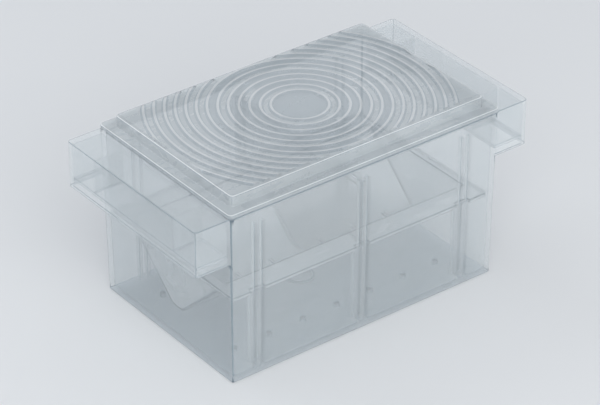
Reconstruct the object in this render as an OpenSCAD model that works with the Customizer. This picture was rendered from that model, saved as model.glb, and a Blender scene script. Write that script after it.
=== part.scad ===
// Floating fish breeding box: a clear moulded tank with an air chamber on each
// end, a V-shaped fry tray that hangs inside it, a lift-out divider and a lid
// with concentric ridges.
// Millimetres, +Z up, +X along the length. The origin is under the middle of the
// tank's floor, on the surface that the box stands on.

/* [Tank] */
// Outside length of the tank at its rim, without the air chambers
tank_length = 162; // [140:1:220]
// Outside width of the tank at its rim
tank_width = 106; // [92:1:140]
// Height of the tank from its underside to its rim
tank_height = 92; // [84:1:120]
// Thickness of the tank's walls
wall = 1.8; // [1.4:0.1:2.2]
// Thickness of the tank's floor
floor_thickness = 2; // [1.5:0.1:3]
// How far each wall leans in from the rim down to the underside
wall_lean = 1.6; // [0.8:0.1:1.8]
// Radius of the tank's upright corners at the rim
corner_radius = 2.4; // [2.2:0.1:5]
// Radius of the same corners on the inside
inner_radius = 2.2; // [2:0.1:4]

/* [Air chambers] */
// How far each air chamber stands out from the end of the tank
chamber_reach = 19; // [15:0.5:26]
// Height of each air chamber, down from the rim
chamber_height = 25; // [18:0.5:32]
// Thickness of the air chamber's walls
chamber_wall = 1.6; // [1.2:0.1:2.2]
// Step from the tank's long face in to the chamber's end face
chamber_setback = 0.6; // [0.3:0.1:1.5]
// Distance from the middle line to each of the two webs in an air chamber
web_offset = 32; // [20:0.5:36]
// Thickness of each web
web_thickness = 1.4; // [1:0.1:2]
// Thickness of the plate that closes the chamber from below
plate_thickness = 1.8; // [1.2:0.1:2.5]
// How deep that plate is set above the chamber's lower edge
plate_recess = 3; // [1.5:0.5:5]
// Glue line around that plate
plate_gap = 0.1; // [0.05:0.05:0.3]

/* [Guides and supports] */
// Distance from the middle to the outer guide stations
station_pitch = 62.5; // [45:0.5:64]
// Width of one guide, over both of its ribs
guide_width = 6.4; // [5.4:0.1:8]
// Width of the slot between the two ribs
guide_slot = 2.6; // [2.5:0.1:3]
// How far the guide ribs stand in from the wall at the rim
guide_reach = 3; // [2.6:0.1:4]
// Distance from the rim down to the top of the guides
guide_drop = 8.5; // [6:0.5:12]
// How much further the support ribs under the tray stand in
support_step = 4; // [3:0.5:6]

/* [Floor] */
// Diameter of the water holes
hole_diameter = 2.6; // [2:0.1:3.2]
// Number of water holes in each row
hole_count = 7; // [5:2:9]
// Distance between the holes of a row
hole_pitch = 20.8; // [12:0.1:21]
// Distance from the middle line to each row
hole_row_y = 29.5; // [22:0.5:33]
// Outside diameter of the round moulding ring in the middle of the floor
ring_diameter = 15; // [10:0.5:20]
// Width of that ring
ring_width = 1.4; // [1:0.1:2.5]
// How far that ring stands up from the floor
ring_height = 0.9; // [0.5:0.1:1.5]

/* [Fry tray] */
// Height of the tray's rim above the underside of the tank
tray_height = 46; // [40:0.5:54]
// Thickness of the tray's rim
tray_rim_thickness = 2; // [1.5:0.1:3]
// Thickness of the tray's sloping plates and end walls
tray_wall = 1.6; // [1.2:0.1:2]
// Width of the rim along the long sides of the tray
tray_side_rim = 12.7; // [11:0.1:14]
// Width of the rim at the ends of the tray
tray_end_rim = 5; // [2.4:0.1:6]
// Width of the slit that the fry drop through
slit_width = 4; // [3:0.1:6]
// Height of the slit above the underside of the tank
slit_height = 13.7; // [10:0.1:18]
// Number of bridges across the slit on each side of the middle
bridge_count = 3; // [1:1:4]
// Width of each bridge along the slit
bridge_width = 2; // [1.5:0.1:3]
// Height of each bridge
bridge_height = 2.4; // [1.5:0.1:3]

/* [Divider] */
// Thickness of the divider
divider_thickness = 2; // [1.5:0.1:2.2]
// Distance from the top of the guides down to the top of the divider
divider_drop = 1.2; // [0.5:0.1:3]
// Width of the thick grip along the divider's top edge
grip_width = 4.6; // [3.4:0.1:6]
// Height of that grip
grip_height = 3.4; // [2.5:0.1:5]
// Height of the divider's lower tip above the slit
tip_rise = 4.3; // [3.2:0.1:7]

/* [Lid] */
// Thickness of the lid's flange, which lies on the rim
flange_thickness = 2.2; // [1.6:0.1:3]
// Height of the raised panel's top above the rim of the tank
panel_rise = 7.8; // [5.5:0.1:11]
// Width of the flange at the ends
flange_end = 5.4; // [5:0.1:8]
// Width of the flange along the long sides
flange_side = 6; // [5:0.1:9]
// Thickness of the raised panel and of its sides
panel_wall = 1.7; // [1.3:0.1:2.2]
// Depth of the skirt that drops inside the rim
skirt_depth = 3; // [2:0.5:5]
// Thickness of that skirt
skirt_wall = 1.4; // [1:0.1:1.8]
// Radius of the smooth disc in the middle of the panel
disc_radius = 11.5; // [8:0.5:16]
// Number of concentric ridges on the panel
ridge_count = 13; // [6:1:14]
// Distance from one ridge to the next
ridge_pitch = 5.1; // [4.4:0.1:5.6]
// Width of a ridge at its foot
ridge_width = 3; // [2:0.1:3.6]
// Width of a ridge at its crest
ridge_crest = 1.2; // [0.8:0.1:1.6]
// Height of a ridge
ridge_height = 1; // [0.6:0.1:1.6]
// Smooth border left between the ridges and the panel's edge
ridge_margin = 1.9; // [0.8:0.1:3]

/* [Clearances] */
// Gap between the tray's rim and the walls, at the tray's height
tray_gap = 0.6; // [0.4:0.05:0.9]
// Gap around the guides in the notches of the tray's rim
notch_gap = 0.6; // [0.4:0.05:0.9]
// Gap between the edge of the divider and the walls
divider_gap = 0.5; // [0.4:0.05:0.8]
// Gap between the divider and the sloping plates of the tray
slope_gap = 0.5; // [0.4:0.05:1]
// Gap between the lid's skirt and the inside of the rim
skirt_gap = 0.4; // [0.35:0.05:0.6]

/* [Hidden] */
$fn = 96;
cut = 1;                    // how far a cutter runs past the face it opens
clear = [0.80, 0.85, 0.88, 0.45];
clear_lid = [0.84, 0.87, 0.90, 0.45];
clear_tray = [0.72, 0.79, 0.84, 0.45];

// Stations of the guides along the tank, and the signs of the two sides
stations = [-station_pitch, 0, station_pitch];
sides = [-1, 1];

// How far the outside wall has leaned in at height z, to a thousandth so that the
// flat faces run into the corner cones without a step
function lean(z) = round(1000 * wall_lean * (1 - z / tank_height)) / 1000;
// Inside half length and half width of the tank at height z
function inner_x(z) = tank_length / 2 - wall - lean(z);
function inner_y(z) = tank_width / 2 - wall - lean(z);

// Guides and the ribs that carry the tray
guide_face = tank_width / 2 - wall - guide_reach;
support_face = guide_face - support_step;
guide_top = tank_height - guide_drop;
tray_seat = tray_height - tray_rim_thickness;

// Tray
tray_x = inner_x(tray_seat) - tray_gap;
tray_y = inner_y(tray_seat) - tray_gap;
trough_x = tray_x - tray_end_rim;
trough_y = tray_y - tray_side_rim;
slit_y = slit_width / 2;
slope_run = trough_y - slit_y;
slope_rise = tray_height - slit_height;
slope_length = sqrt(slope_run * slope_run + slope_rise * slope_rise);
// Distance along Y that is one unit of distance square to the sloping plate
slope_skew = slope_length / slope_rise;
plate_run = tray_wall * slope_skew;
slit_reach = trough_x - tray_wall;
bridge_pitch = slit_reach / (bridge_count + 0.5);

// Half width of the trough at height z
function trough_half(z) = slit_y + slope_run * (z - slit_height) / slope_rise;

// Divider
divider_y = inner_y(tray_height) - divider_gap;
divider_top = guide_top - divider_drop;
divider_tip = slit_height + tip_rise;
grip_y = guide_face - divider_gap;

// Air chambers
chamber_bottom = tank_height - chamber_height;
chamber_end = tank_length / 2 + chamber_reach;
chamber_y = tank_width / 2 - lean(chamber_bottom) - chamber_setback;
chamber_inner_y = chamber_y - chamber_wall;
chamber_inner_end = chamber_end - chamber_wall;
chamber_roof = tank_height - chamber_wall;
chamber_radius = 2;
chamber_inner_radius = 0.5;
plate_bottom = chamber_bottom + plate_recess;
plate_top = plate_bottom + plate_thickness;

// Lid
panel_x = tank_length / 2 - flange_end;
panel_y = tank_width / 2 - flange_side;
panel_radius = 2.4;
hollow_radius = 0.5;
panel_top = tank_height + panel_rise;
flange_top = tank_height + flange_thickness;
skirt_x = tank_length / 2 - wall - skirt_gap;
skirt_y = tank_width / 2 - wall - skirt_gap;
skirt_radius = inner_radius - skirt_gap;

// A block with rounded upright edges, from height z0 to z1
module rounded_block(half_x, half_y, radius, z0, z1) {
    cx = half_x - radius;
    cy = half_y - radius;
    translate([0, 0, z0])
        linear_extrude(z1 - z0) {
            square([2 * half_x, 2 * cy], center = true);
            square([2 * cx, 2 * half_y], center = true);
            for (x = [-cx, cx], y = [-cy, cy])
                translate([x, y]) circle(r = radius);
        }
}

// The tank's form between two heights, moved in by inset all round. radius is the
// corner radius at the rim. It shrinks by as much as the walls lean, so the corner
// centres are the same at every height.
module leaning_block(inset, radius, z0, z1) {
    core_x = tank_length / 2 - inset - radius;
    core_y = tank_width / 2 - inset - radius;
    r0 = radius - lean(z0);
    r1 = radius - lean(z1);
    // between the end faces
    translate([0, core_y, 0]) rotate([90, 0, 0])
        linear_extrude(2 * core_y)
            polygon([[-core_x - r0, z0], [core_x + r0, z0], [core_x + r1, z1], [-core_x - r1, z1]]);
    // between the long faces
    translate([-core_x, 0, 0]) rotate([90, 0, 90])
        linear_extrude(2 * core_x)
            polygon([[-core_y - r0, z0], [core_y + r0, z0], [core_y + r1, z1], [-core_y - r1, z1]]);
    for (x = [-core_x, core_x], y = [-core_y, core_y])
        translate([x, y, z0]) cylinder(h = z1 - z0, r1 = r0, r2 = r1);
}

// The air chamber at the end given by side, as a solid down to height z0
module chamber_block(side, half_y, end, radius, z0, z1) {
    mirror([side < 0 ? 1 : 0, 0, 0])
        translate([0, 0, z0])
            linear_extrude(z1 - z0) {
                translate([0, -half_y]) square([end - radius, 2 * half_y]);
                translate([0, radius - half_y]) square([end, 2 * (half_y - radius)]);
                for (y = [radius - half_y, half_y - radius])
                    translate([end - radius, y]) circle(r = radius);
            }
}

// The two ribs of one guide, from the wall in to the given face
module rib_pair(x, side, face, z0, z1) {
    rib = (guide_width - guide_slot) / 2;
    depth = tank_width / 2 - face;
    for (edge = sides)
        translate([x + edge * (guide_slot + rib) / 2, side * (face + depth / 2), (z0 + z1) / 2])
            cube([rib, depth, z1 - z0], center = true);
}

// Every rib on the inside of the long walls
module wall_ribs() {
    intersection() {
        for (x = stations, side = sides) {
            rib_pair(x, side, guide_face, floor_thickness - cut, guide_top);
            rib_pair(x, side, support_face, floor_thickness - cut, tray_seat);
        }
        leaning_block(wall / 2, corner_radius, floor_thickness / 2, tank_height);
    }
}

// The webs inside the air chamber at the end given by side
module chamber_webs(side) {
    inner_face = tank_length / 2 - wall;
    for (y = [-web_offset, web_offset])
        translate([side * (inner_face + chamber_inner_end + chamber_wall / 2) / 2, y,
                   (plate_top + chamber_roof + cut / 2) / 2])
            cube([chamber_inner_end + chamber_wall / 2 - inner_face, web_thickness,
                  chamber_roof + cut / 2 - plate_top], center = true);
}

// Clear tank with its two air chambers, guides, supports and water holes
module tank() {
    color(clear) {
        difference() {
            union() {
                leaning_block(0, corner_radius, 0, tank_height);
                for (side = sides)
                    difference() {
                        chamber_block(side, chamber_y, chamber_end, chamber_radius,
                                      chamber_bottom, tank_height);
                        chamber_block(side, chamber_inner_y, chamber_inner_end,
                                      chamber_inner_radius, chamber_bottom - cut, chamber_roof);
                    }
                for (side = sides)
                    chamber_webs(side);
            }
            leaning_block(wall, inner_radius, floor_thickness, tank_height + cut);
            for (row = sides, i = [0 : hole_count - 1])
                translate([(i - (hole_count - 1) / 2) * hole_pitch, row * hole_row_y, -cut])
                    cylinder(h = floor_thickness + 2 * cut, d = hole_diameter);
        }
        wall_ribs();
        translate([0, 0, floor_thickness - cut / 2])
            difference() {
                cylinder(h = ring_height + cut / 2, d = ring_diameter);
                translate([0, 0, -cut])
                    cylinder(h = ring_height + 3 * cut, d = ring_diameter - 2 * ring_width);
            }
    }
}

// Plate that closes one air chamber from below, glued in against the webs
module float_plate(side) {
    inner_face = tank_length / 2 - lean(plate_top) + plate_gap;
    color(clear)
        intersection() {
            chamber_block(side, chamber_inner_y - plate_gap, chamber_inner_end - plate_gap,
                          chamber_inner_radius - plate_gap, plate_bottom, plate_top);
            translate([side * (inner_face + chamber_reach), 0, plate_bottom])
                cube([2 * chamber_reach, 2 * chamber_y, 4 * plate_thickness], center = true);
        }
}

// The trough's cross-section in Y and Z, widened by run on each side
module trough_profile(run, top) {
    half_top = trough_half(top) + run;
    polygon([[-half_top, top], [half_top, top], [slit_y + run, slit_height], [-slit_y - run, slit_height]]);
}

// Runs a Y and Z profile along X over a given half length
module along_x(half) {
    translate([-half, 0, 0]) rotate([90, 0, 90])
        linear_extrude(2 * half) children();
}

// V-shaped tray: a rim that sits on the supports and a trough with a slit below
module fry_tray() {
    notch_depth = tray_y + cut - (guide_face - notch_gap);
    color(clear_tray) {
        difference() {
            union() {
                rounded_block(tray_x, tray_y, inner_radius, tray_seat, tray_height);
                along_x(trough_x + tray_wall) trough_profile(plate_run, tray_height);
            }
            along_x(trough_x) trough_profile(0, tray_height + cut);
            translate([0, 0, slit_height])
                cube([2 * slit_reach, slit_width, 2 * cut], center = true);
            for (x = stations, side = sides)
                translate([x, side * (guide_face - notch_gap + notch_depth / 2), tray_height])
                    cube([guide_width + 2 * notch_gap, notch_depth, 3 * tray_rim_thickness], center = true);
        }
        for (side = sides, i = [1 : bridge_count])
            translate([side * (i - 0.25) * bridge_pitch, 0, slit_height + bridge_height / 2])
                cube([bridge_width, slit_width + 2 * bridge_height, bridge_height], center = true);
    }
}

// Divider that slides down the middle guides and fills the tray's trough
module divider() {
    edge_run = slope_gap * slope_skew;
    shoulder = trough_half(tray_height) - edge_run;
    tip = trough_half(divider_tip) - edge_run;
    color(clear) {
        along_x(divider_thickness / 2)
            polygon([[-divider_y, divider_top], [divider_y, divider_top],
                     [divider_y, tray_height], [shoulder, tray_height],
                     [tip, divider_tip], [-tip, divider_tip],
                     [-shoulder, tray_height], [-divider_y, tray_height]]);
        translate([0, 0, divider_top - grip_height / 2])
            cube([grip_width, 2 * grip_y, grip_height], center = true);
    }
}

// One concentric ridge of the lid, given the radius of its crest
module ridge(radius) {
    foot = ridge_width / 2;
    crest = ridge_crest / 2;
    rotate_extrude()
        polygon([[radius - foot, panel_top - panel_wall / 2], [radius + foot, panel_top - panel_wall / 2],
                 [radius + foot, panel_top], [radius + crest, panel_top + ridge_height],
                 [radius - crest, panel_top + ridge_height], [radius - foot, panel_top]]);
}

// Lid: a flange on the rim, a skirt inside it and a raised panel with ridges
module lid() {
    color(clear_lid) {
        difference() {
            union() {
                rounded_block(tank_length / 2, tank_width / 2, corner_radius, tank_height, flange_top);
                rounded_block(panel_x, panel_y, panel_radius, tank_height, panel_top);
                rounded_block(skirt_x, skirt_y, skirt_radius, tank_height - skirt_depth, flange_top);
            }
            rounded_block(panel_x - panel_wall, panel_y - panel_wall, hollow_radius,
                          tank_height - cut, panel_top - panel_wall);
            rounded_block(skirt_x - skirt_wall, skirt_y - skirt_wall, hollow_radius,
                          tank_height - skirt_depth - cut, tank_height);
        }
        intersection() {
            for (i = [1 : ridge_count])
                ridge(disc_radius + (i - 0.5) * ridge_pitch);
            translate([0, 0, panel_top])
                cube([2 * (panel_x - ridge_margin), 2 * (panel_y - ridge_margin), 4 * panel_wall],
                     center = true);
        }
    }
}

tank();
float_plate(-1);  // float_plate_left
float_plate(1);  // float_plate_right
fry_tray();
divider();
lid();
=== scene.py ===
import math
from collections import namedtuple

import bmesh
import bpy
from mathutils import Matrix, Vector


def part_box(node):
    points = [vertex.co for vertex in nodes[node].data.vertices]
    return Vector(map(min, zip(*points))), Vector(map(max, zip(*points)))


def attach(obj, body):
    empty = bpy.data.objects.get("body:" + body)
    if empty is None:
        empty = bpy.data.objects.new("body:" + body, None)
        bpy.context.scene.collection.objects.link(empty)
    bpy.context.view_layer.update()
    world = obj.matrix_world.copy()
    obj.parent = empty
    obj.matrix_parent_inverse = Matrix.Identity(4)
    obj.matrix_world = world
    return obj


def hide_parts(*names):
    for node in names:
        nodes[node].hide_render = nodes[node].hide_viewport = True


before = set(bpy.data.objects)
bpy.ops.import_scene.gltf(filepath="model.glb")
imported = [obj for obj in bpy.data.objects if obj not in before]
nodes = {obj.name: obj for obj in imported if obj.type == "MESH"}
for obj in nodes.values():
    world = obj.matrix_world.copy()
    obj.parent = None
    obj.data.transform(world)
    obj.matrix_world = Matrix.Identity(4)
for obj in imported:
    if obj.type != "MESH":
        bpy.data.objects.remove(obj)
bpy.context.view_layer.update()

# ------------------------------------------------------------------ camera
VIEW_AZIMUTH = -37.5        # degrees; the photograph looks from the front left
VIEW_ELEVATION = 32.0       # degrees above the horizon
VIEW_DISTANCE = 1.5         # metres
VIEW_LENS = 184.0           # millimetres
VIEW_SENSOR = 36.0          # millimetres
VIEW_TARGET = Vector((0.0, 0.0, 0.045))


def make_camera():
    """The photograph's viewpoint."""
    data = bpy.data.cameras.new("camera")
    data.lens = VIEW_LENS
    data.sensor_width = VIEW_SENSOR
    cam = bpy.data.objects.new("camera", data)
    bpy.context.scene.collection.objects.link(cam)
    azimuth, elevation = math.radians(VIEW_AZIMUTH), math.radians(VIEW_ELEVATION)
    back = Vector((
        math.sin(azimuth) * math.cos(elevation),
        -math.cos(azimuth) * math.cos(elevation),
        math.sin(elevation),
    ))
    cam.location = VIEW_TARGET + back * VIEW_DISTANCE
    cam.rotation_euler = (-back).to_track_quat("-Z", "Y").to_euler()
    bpy.context.scene.camera = cam


make_camera()

# --------------------------------------------------------------- materials
# Places of the colour sockets among those of Blender's mix node
MIX_FACTOR, MIX_A, MIX_B, MIX_RESULT = 0, 6, 7, 2

# The noises of the plastic: clouds in its tint, lines along which it flowed into the
# mould, and the grain of the mould's surface. Scales are per metre.
CLOUDS = {"scale": 28, "detail": 3.0, "distortion": 0.6}
FLOW = {"scale": 60, "detail": 2.0, "stretch": (0.35, 1.0, 1.6), "turn": (0.2, 0.1, 0.5),
        "distortion": 1.8}
GRAIN = {"scale": 1800, "detail": 2.0}
FLOW_ROUGHNESS = 0.25        # share of the roughness that the flow lines add or take
GRAIN_ROUGHNESS = 0.02       # roughness that the grain adds or takes
FLOW_BUMP = {"Strength": 0.10, "Distance": 0.0002}       # distances in metres
GRAIN_BUMP = {"Strength": 0.06, "Distance": 0.00002}
REFRACTION = 1.59            # index of clear polystyrene
SHINE = 0.8                  # specular level of the moulded surface


class Tree:
    """A material's node tree, with short calls for adding and joining nodes."""

    def __init__(self, name):
        self.material = bpy.data.materials.new(name)
        self.material.use_nodes = True
        self.nodes = self.material.node_tree.nodes
        self.nodes.clear()
        self.coords = self.add("ShaderNodeTexCoord").outputs["Object"]

    def add(self, kind, inputs=(), **settings):
        node = self.nodes.new(kind)
        for key, value in settings.items():
            setattr(node, key, value)
        for key, value in dict(inputs).items():
            if isinstance(value, bpy.types.NodeSocket):
                self.material.node_tree.links.new(value, node.inputs[key])
            else:
                node.inputs[key].default_value = value
        return node

    def noise(self, scale, detail, stretch=(1, 1, 1), turn=(0, 0, 0), distortion=0.0):
        mapping = self.add("ShaderNodeMapping",
                           {"Vector": self.coords, "Scale": stretch, "Rotation": turn})
        return self.add("ShaderNodeTexNoise",
                        {"Vector": mapping.outputs["Vector"], "Scale": scale,
                         "Detail": detail, "Distortion": distortion}).outputs["Fac"]

    def spread(self, value, low, high, start=0.3, end=0.7):
        """Spread the part of a noise between start and end over low to high."""
        return self.add("ShaderNodeMapRange",
                        {"Value": value, "From Min": start, "From Max": end,
                         "To Min": low, "To Max": high}).outputs["Result"]

    def mix(self, factor, a, b):
        node = self.add("ShaderNodeMix", {MIX_FACTOR: factor, MIX_A: a, MIX_B: b},
                        data_type="RGBA")
        return node.outputs[MIX_RESULT]

    def math(self, operation, a, b):
        return self.add("ShaderNodeMath", {0: a, 1: b}, operation=operation).outputs[0]


def clear_plastic(name, pale, deep, alpha, roughness):
    """Milky clear moulded plastic: a tint that clouds between pale and deep, flow lines
    and a fine grain. alpha is how milky one face of a wall looks."""
    t = Tree(name)
    cloud = t.noise(**CLOUDS)
    flow = t.noise(**FLOW)
    grain = t.noise(**GRAIN)

    colour = t.mix(t.spread(cloud, 0, 1), (*deep, 1), (*pale, 1))

    rough = t.spread(flow, (1 - FLOW_ROUGHNESS) * roughness, (1 + FLOW_ROUGHNESS) * roughness)
    rough = t.math("ADD", rough, t.spread(grain, -GRAIN_ROUGHNESS, GRAIN_ROUGHNESS))

    wave = t.add("ShaderNodeBump", {"Height": flow, **FLOW_BUMP})
    fine = t.add("ShaderNodeBump", {"Height": grain, **GRAIN_BUMP,
                                    "Normal": wave.outputs["Normal"]})
    shader = t.add("ShaderNodeBsdfPrincipled", {
        "Base Color": colour,
        "Roughness": rough,
        "Normal": fine.outputs["Normal"],
        "IOR": REFRACTION,
        "Specular IOR Level": SHINE,
        "Alpha": alpha,
    })
    t.add("ShaderNodeOutputMaterial", {"Surface": shader.outputs["BSDF"]})
    return t.material


# The looks of each piece, each with its pale tint, deep tint, alpha and roughness:
#   sheet  its walls, and whatever has no look of its own
#   edge   painted shade: a darker, denser tint on outer edges, rounded corners and the flanks
#          of the lid's ridges, for where one looks through more plastic and it bends the light
#          away
#   upper  outer edges that face up: a painted highlight on the lid and divider, painted shade on
#       the tank and tray
#   floor  the tank's floor, in a darker, bluer tint that is painted shade
#   hole   painted shade: a near-black tint on the insides of the tank's water holes, and on the ring on its floor
#   painted_side_shade  painted shade: a dark band on the trough's end walls, where its sides show
#       through
#   crest  the crests of the lid's ridges, in a pale tint that is a painted highlight
#   disc   the flat disc in the middle of those ridges
# painted highlight: the pale, dense tint of the upper edges of the lid and divider
PAINTED_HIGHLIGHT = clear_plastic("painted_highlight_plastic", (0.93, 0.945, 0.955), (0.89, 0.915, 0.93), 0.70, 0.16)
# painted shade: the dark tint of the tank's outer edges, rounded corners and upper edges
SHELL_PAINTED_EDGE_SHADE = clear_plastic("shell_painted_edge_shade_plastic",
                           (0.24, 0.30, 0.34), (0.20, 0.26, 0.30), 0.70, 0.20)
SHELL = {
    "sheet": clear_plastic("shell_plastic", (0.76, 0.815, 0.84), (0.72, 0.78, 0.81), 0.26, 0.20),
    "edge": SHELL_PAINTED_EDGE_SHADE,
    "upper": SHELL_PAINTED_EDGE_SHADE,
    # painted shade: a darker, bluer tint on the tank's floor
    "floor": clear_plastic("floor_painted_shade_plastic", (0.47, 0.58, 0.66), (0.42, 0.53, 0.61), 0.30, 0.24),
    # painted shade: a near-black tint inside the water holes and on the floor's ring
    "hole": clear_plastic("hole_painted_shade_plastic", (0.10, 0.14, 0.18), (0.08, 0.12, 0.15), 0.90, 0.24),
}
# painted shade: the near-black tint of the tray's outer edges and upper edges
TRAY_PAINTED_EDGE_SHADE = clear_plastic("tray_painted_edge_shade_plastic",
                          (0.06, 0.09, 0.12), (0.05, 0.08, 0.10), 0.95, 0.20)
TRAY = {
    "sheet": clear_plastic("tray_plastic", (0.86, 0.91, 0.935), (0.81, 0.87, 0.90), 0.32, 0.24),
    "edge": TRAY_PAINTED_EDGE_SHADE,
    "upper": TRAY_PAINTED_EDGE_SHADE,
    # painted shade: a dark band on the trough's end walls where its sides show through
    "painted_side_shade": clear_plastic("tray_painted_side_shade_plastic", (0.16, 0.21, 0.25), (0.13, 0.18, 0.22), 0.72, 0.24),
}
DIVIDER = {
    "sheet": clear_plastic("divider_plastic", (0.82, 0.86, 0.88), (0.78, 0.83, 0.855), 0.10, 0.22),
    # painted shade: the dark tint of the divider's outer edges and rounded corners
    "edge": clear_plastic("divider_painted_edge_shade_plastic",
                          (0.20, 0.26, 0.30), (0.17, 0.23, 0.27), 0.75, 0.20),
    "upper": PAINTED_HIGHLIGHT,
}
LID = {
    "sheet": clear_plastic("lid_plastic", (0.625, 0.67, 0.695), (0.585, 0.635, 0.66), 0.45, 0.28),
    # painted shade: the darker tint of the lid's outer edges and of the flanks of its ridges
    "edge": clear_plastic("lid_painted_edge_shade_plastic", (0.48, 0.54, 0.58), (0.44, 0.50, 0.54), 0.50, 0.25),
    "upper": PAINTED_HIGHLIGHT,
    # painted highlight: the pale tint of the crests of the lid's ridges
    "crest": clear_plastic("lid_crest_painted_highlight_plastic",
                           (0.88, 0.90, 0.915), (0.83, 0.86, 0.88), 0.42, 0.20),
    "disc": clear_plastic("lid_disc_plastic", (0.47, 0.53, 0.57), (0.43, 0.49, 0.53), 0.42, 0.36),
}

# ------------------------------------------------------------------ pieces
SHARP = math.radians(28)     # edges that turn more than this are hard edges
CREASE = math.radians(40)    # edges that turn more than this are shaded as creases
FLAT = math.radians(0.4)     # faces that turn less than this are one face
JOIN = 2e-6                  # metres between corners that are the same corner
STUB = 2e-4                  # metres; the ends of the slit's bridges stand out by less
THIN_ROUND = 0.0003          # metres; how far the edges of tank, plates and divider are cut back
THICK_ROUND = 0.0005         # metres; the same for the tray and the lid
ROUND_SEGMENTS = 2           # strips that round one edge
ROUND_PROFILE = 0.5          # the bevel's profile of a round edge
EVEN_WEIGHT = 100            # large faces lead the shading at their edges all they can
SMALL = 1.5e-6               # square metres; facets of holes and rings are smaller
FLANK = (0.2, 0.95)          # upright part of the normals of a ridge's flanks
UPRIGHT = 0.1                # upright part of an upright face's normal, at most
CORNER = 0.2                 # how far such a normal may lie off the corner's middle
FACES_UP = 0.6               # upright part of the normal of an upper edge's strip, at least
LEVEL = 0.9                  # upright part of a level face's normal, at least
FLOOR_TOP = 0.0025           # metres; the tank's floor lies below this height
RING_TOP = 0.0035            # metres; the ring on the floor lies below this height
END_WALL = 0.001             # square metres; an end wall of the trough is larger
SIDE_SHADE_WIDTH = 0.0007                # metres; how wide the painted shade of the trough's sides is on an end wall
DISC = 0.004                 # metres from the lid's centre to the disc's middle, at most


def strip_look(face):
    """The look of a strip that rounds an edge: painted shade where it bulges, or the upper look
    where it also faces up (a painted highlight on the lid and divider, painted shade on the tank
    and tray); one in a hollow corner is plain sheet.
    """
    bulge = sum(e.calc_face_angle_signed(0.0) * e.calc_length() for e in face.edges)
    if bulge <= 0:
        return "sheet"
    return "upper" if face.normal.z > FACES_UP else "edge"


def ridged(point, ridges):
    """True for a point among the lid's ridges, whose edges aren't rounded."""
    return (ridges is not None and abs(point.x) < ridges.half_length
            and abs(point.y) < ridges.half_width and point.z > ridges.above)


def face_look(face, ridges):
    """The look of a moulded face, from its place, size and direction alone."""
    normal, middle = face.normal, face.calc_center_median()
    if ridged(middle, ridges):
        # the ridges' flanks get painted shade, their crests a painted highlight
        if FLANK[0] < normal.z < FLANK[1]:
            return "edge"
        if middle.z > ridges.crest:
            return "crest"
        return "disc" if middle.xy.length < DISC else "sheet"
    # painted shade inside the water holes, whose facets are small
    if face.calc_area() < SMALL:
        return "hole"
    # painted shade: the floor gets its darker, bluer look, the ring on it the near-black one
    if abs(normal.z) > LEVEL and middle.z < RING_TOP:
        return "floor" if middle.z < FLOOR_TOP else "hole"
    # painted shade on the rounded upright corners
    corner = abs(normal.z) < UPRIGHT and abs(abs(normal.x) - abs(normal.y)) < CORNER
    return "edge" if corner else "sheet"


def place(looks, look):
    """The place of a look among a piece's own; a piece without it shows its sheet."""
    return looks.index(look if look in looks else "sheet")


def weld_stubs(work):
    """Weld corners closer than STUB onto the one with the largest face, which stays."""
    order = sorted(work.verts, key=lambda v: -max(f.calc_area() for f in v.link_faces))
    onto = {}
    for rank, vert in enumerate(order):
        if vert in onto:
            continue
        for near in order[rank + 1:]:
            if near not in onto and (near.co - vert.co).length < STUB:
                onto[near] = vert
    bmesh.ops.weld_verts(work, targetmap=onto)


def paint_side_shade(work, looks):
    """Paint the trough's outer end walls with a ring of painted shade, in the look of the sides
    behind them.
    """
    ends = [f for f in work.faces if f.calc_area() > END_WALL
            and f.normal.x * math.copysign(1, f.calc_center_median().x) > LEVEL]
    side_shade_strips = bmesh.ops.inset_individual(work, faces=ends, thickness=SIDE_SHADE_WIDTH, use_even_offset=True)
    for face in side_shade_strips["faces"]:
        face.material_index = looks.index("painted_side_shade")
    # The inset leaves the faces in another order on each run, so they are put in one order
    order = sorted(work.faces, key=lambda f: (*f.calc_center_median(), f.calc_area()))
    rank = {face: at for at, face in enumerate(order)}
    work.faces.sort(key=rank.get)


def moulded(name, node, body, plastic, radius, ridges=None, stubs=False):
    """The CAD node's shape with its hard edges rounded, standing for that node."""
    work = bmesh.new()
    work.from_mesh(nodes[node].data)
    bmesh.ops.remove_doubles(work, verts=work.verts, dist=JOIN)
    bmesh.ops.dissolve_limit(work, angle_limit=FLAT, verts=work.verts, edges=work.edges)
    if stubs:
        weld_stubs(work)
    looks = list(plastic)
    for face in work.faces:
        face.material_index = place(looks, face_look(face, ridges))
    hard = [e for e in work.edges if e.is_manifold and e.calc_face_angle() > SHARP
            and not any(ridged(v.co, ridges) for v in e.verts)]
    strips = bmesh.ops.bevel(work, geom=hard, offset=radius, offset_type="OFFSET",
                             segments=ROUND_SEGMENTS, profile=ROUND_PROFILE,
                             affect="EDGES", clamp_overlap=False, loop_slide=True)
    work.normal_update()
    # bulging strips get painted shade, and up-facing ones the upper look (a painted highlight on
    # lid and divider)
    for face in strips["faces"]:
        face.material_index = place(looks, strip_look(face))
    # the painted shade band on the trough's end walls
    if "painted_side_shade" in looks:
        paint_side_shade(work, looks)
    for face in work.faces:
        face.smooth = True
    mesh = bpy.data.meshes.new(name)
    work.to_mesh(mesh)
    work.free()
    mesh.set_sharp_from_angle(angle=CREASE)
    for material in plastic.values():
        mesh.materials.append(material)
    piece = bpy.data.objects.new(name, mesh)
    bpy.context.scene.collection.objects.link(piece)
    even = piece.modifiers.new("even", "WEIGHTED_NORMAL")
    even.keep_sharp = True
    even.weight = EVEN_WEIGHT
    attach(piece, body)
    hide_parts(node)


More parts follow.
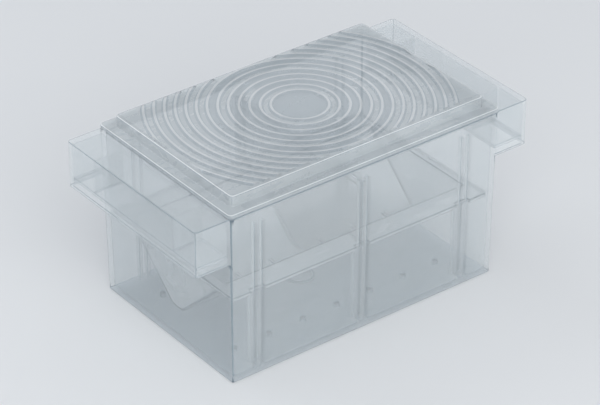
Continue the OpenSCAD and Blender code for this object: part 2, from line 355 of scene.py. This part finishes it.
# The lid's ridges lie within a half length and a half width, above one height, and their
# crests above another, all in metres
Ridges = namedtuple("Ridges", "half_length half_width above crest")
LID_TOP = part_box("lid")[1].z
RIDGES = Ridges(half_length=0.0745, half_width=0.0459, above=LID_TOP - 0.0015,
                crest=LID_TOP - 0.00005)

moulded("tank_shell", "tank", "tank", SHELL, THIN_ROUND)
moulded("float_plate_left_glued", "float_plate_left", "tank", SHELL,
        THIN_ROUND)
moulded("float_plate_right_glued", "float_plate_right", "tank", SHELL,
        THIN_ROUND)
moulded("fry_tray_trough", "fry_tray", "fry_tray", TRAY, THICK_ROUND, stubs=True)
moulded("divider_sheet", "divider", "divider", DIVIDER, THIN_ROUND)
moulded("lid_cover", "lid", "lid", LID, THICK_ROUND, RIDGES)

# ------------------------------------------------------------------- stage
FLOOR_RADIUS = 5.0           # metres
FLOOR_SIDES = 96
FLOOR_DROP = 0.0002          # metres below the part, so that the two don't share a plane
FLOOR_NOISE = {"scale": 3.0, "detail": 4.0}
FLOOR_DEEP = (0.76, 0.77, 0.78)
FLOOR_PALE = (0.79, 0.80, 0.81)
FLOOR_ROUGHNESS = 0.75
BACKGROUND = (0.80, 0.81, 0.82)
SKY = (0.90, 0.94, 1.0)
SKY_STRENGTH = 0.62
# Name, place and diameter in metres, power in watts and colour of each lamp
LAMPS = (
    ("key", (-0.85, -1.75, 1.25), 2.4, 35.0, (1.0, 0.985, 0.96)),
    ("back", (-0.6, 1.6, 1.3), 1.6, 7.0, (0.95, 0.98, 1.0)),
)


def make_floor():
    """A large round floor, so that no edge of it shows."""
    ring = [(FLOOR_RADIUS * math.cos(2 * math.pi * i / FLOOR_SIDES),
             FLOOR_RADIUS * math.sin(2 * math.pi * i / FLOOR_SIDES), -FLOOR_DROP)
            for i in range(FLOOR_SIDES)]
    mesh = bpy.data.meshes.new("floor")
    mesh.from_pydata(ring, [], [tuple(range(FLOOR_SIDES))])
    t = Tree("floor")
    tone = t.mix(t.spread(t.noise(**FLOOR_NOISE), 0, 1), (*FLOOR_DEEP, 1), (*FLOOR_PALE, 1))
    shader = t.add("ShaderNodeBsdfPrincipled",
                   {"Base Color": tone, "Roughness": FLOOR_ROUGHNESS})
    t.add("ShaderNodeOutputMaterial", {"Surface": shader.outputs["BSDF"]})
    mesh.materials.append(t.material)
    floor = bpy.data.objects.new("floor", mesh)
    bpy.context.scene.collection.objects.link(floor)


def area_light(name, location, size, power, colour):
    """A round lamp that points at the middle of the part."""
    data = bpy.data.lights.new(name, "AREA")
    data.shape = "DISK"
    data.size = size
    data.energy = power
    data.color = colour
    lamp = bpy.data.objects.new(name, data)
    bpy.context.scene.collection.objects.link(lamp)
    lamp.location = location
    aim = VIEW_TARGET - Vector(location)
    lamp.rotation_euler = aim.to_track_quat("-Z", "Y").to_euler()


def make_world():
    """A soft sky that lights the object, and a plain backdrop where it is looked at."""
    world = bpy.data.worlds.new("studio")
    bpy.context.scene.world = world
    world.use_nodes = True
    tree = world.node_tree
    tree.nodes.clear()
    out = tree.nodes.new("ShaderNodeOutputWorld")
    lit = tree.nodes.new("ShaderNodeBackground")
    seen = tree.nodes.new("ShaderNodeBackground")
    lit.inputs["Color"].default_value = (*SKY, 1)
    lit.inputs["Strength"].default_value = SKY_STRENGTH
    seen.inputs["Color"].default_value = (*BACKGROUND, 1)
    path = tree.nodes.new("ShaderNodeLightPath")
    looked = path.outputs["Is Camera Ray"]
    for ray in ("Is Glossy Ray", "Is Transmission Ray"):
        either = tree.nodes.new("ShaderNodeMath")
        either.operation = "MAXIMUM"
        tree.links.new(looked, either.inputs[0])
        tree.links.new(path.outputs[ray], either.inputs[1])
        looked = either.outputs[0]
    both = tree.nodes.new("ShaderNodeMixShader")
    tree.links.new(looked, both.inputs[0])
    tree.links.new(lit.outputs[0], both.inputs[1])
    tree.links.new(seen.outputs[0], both.inputs[2])
    tree.links.new(both.outputs[0], out.inputs["Surface"])


make_floor()
make_world()
for lamp_facts in LAMPS:
    area_light(*lamp_facts)

bpy.context.scene.view_settings.view_transform = "Standard"
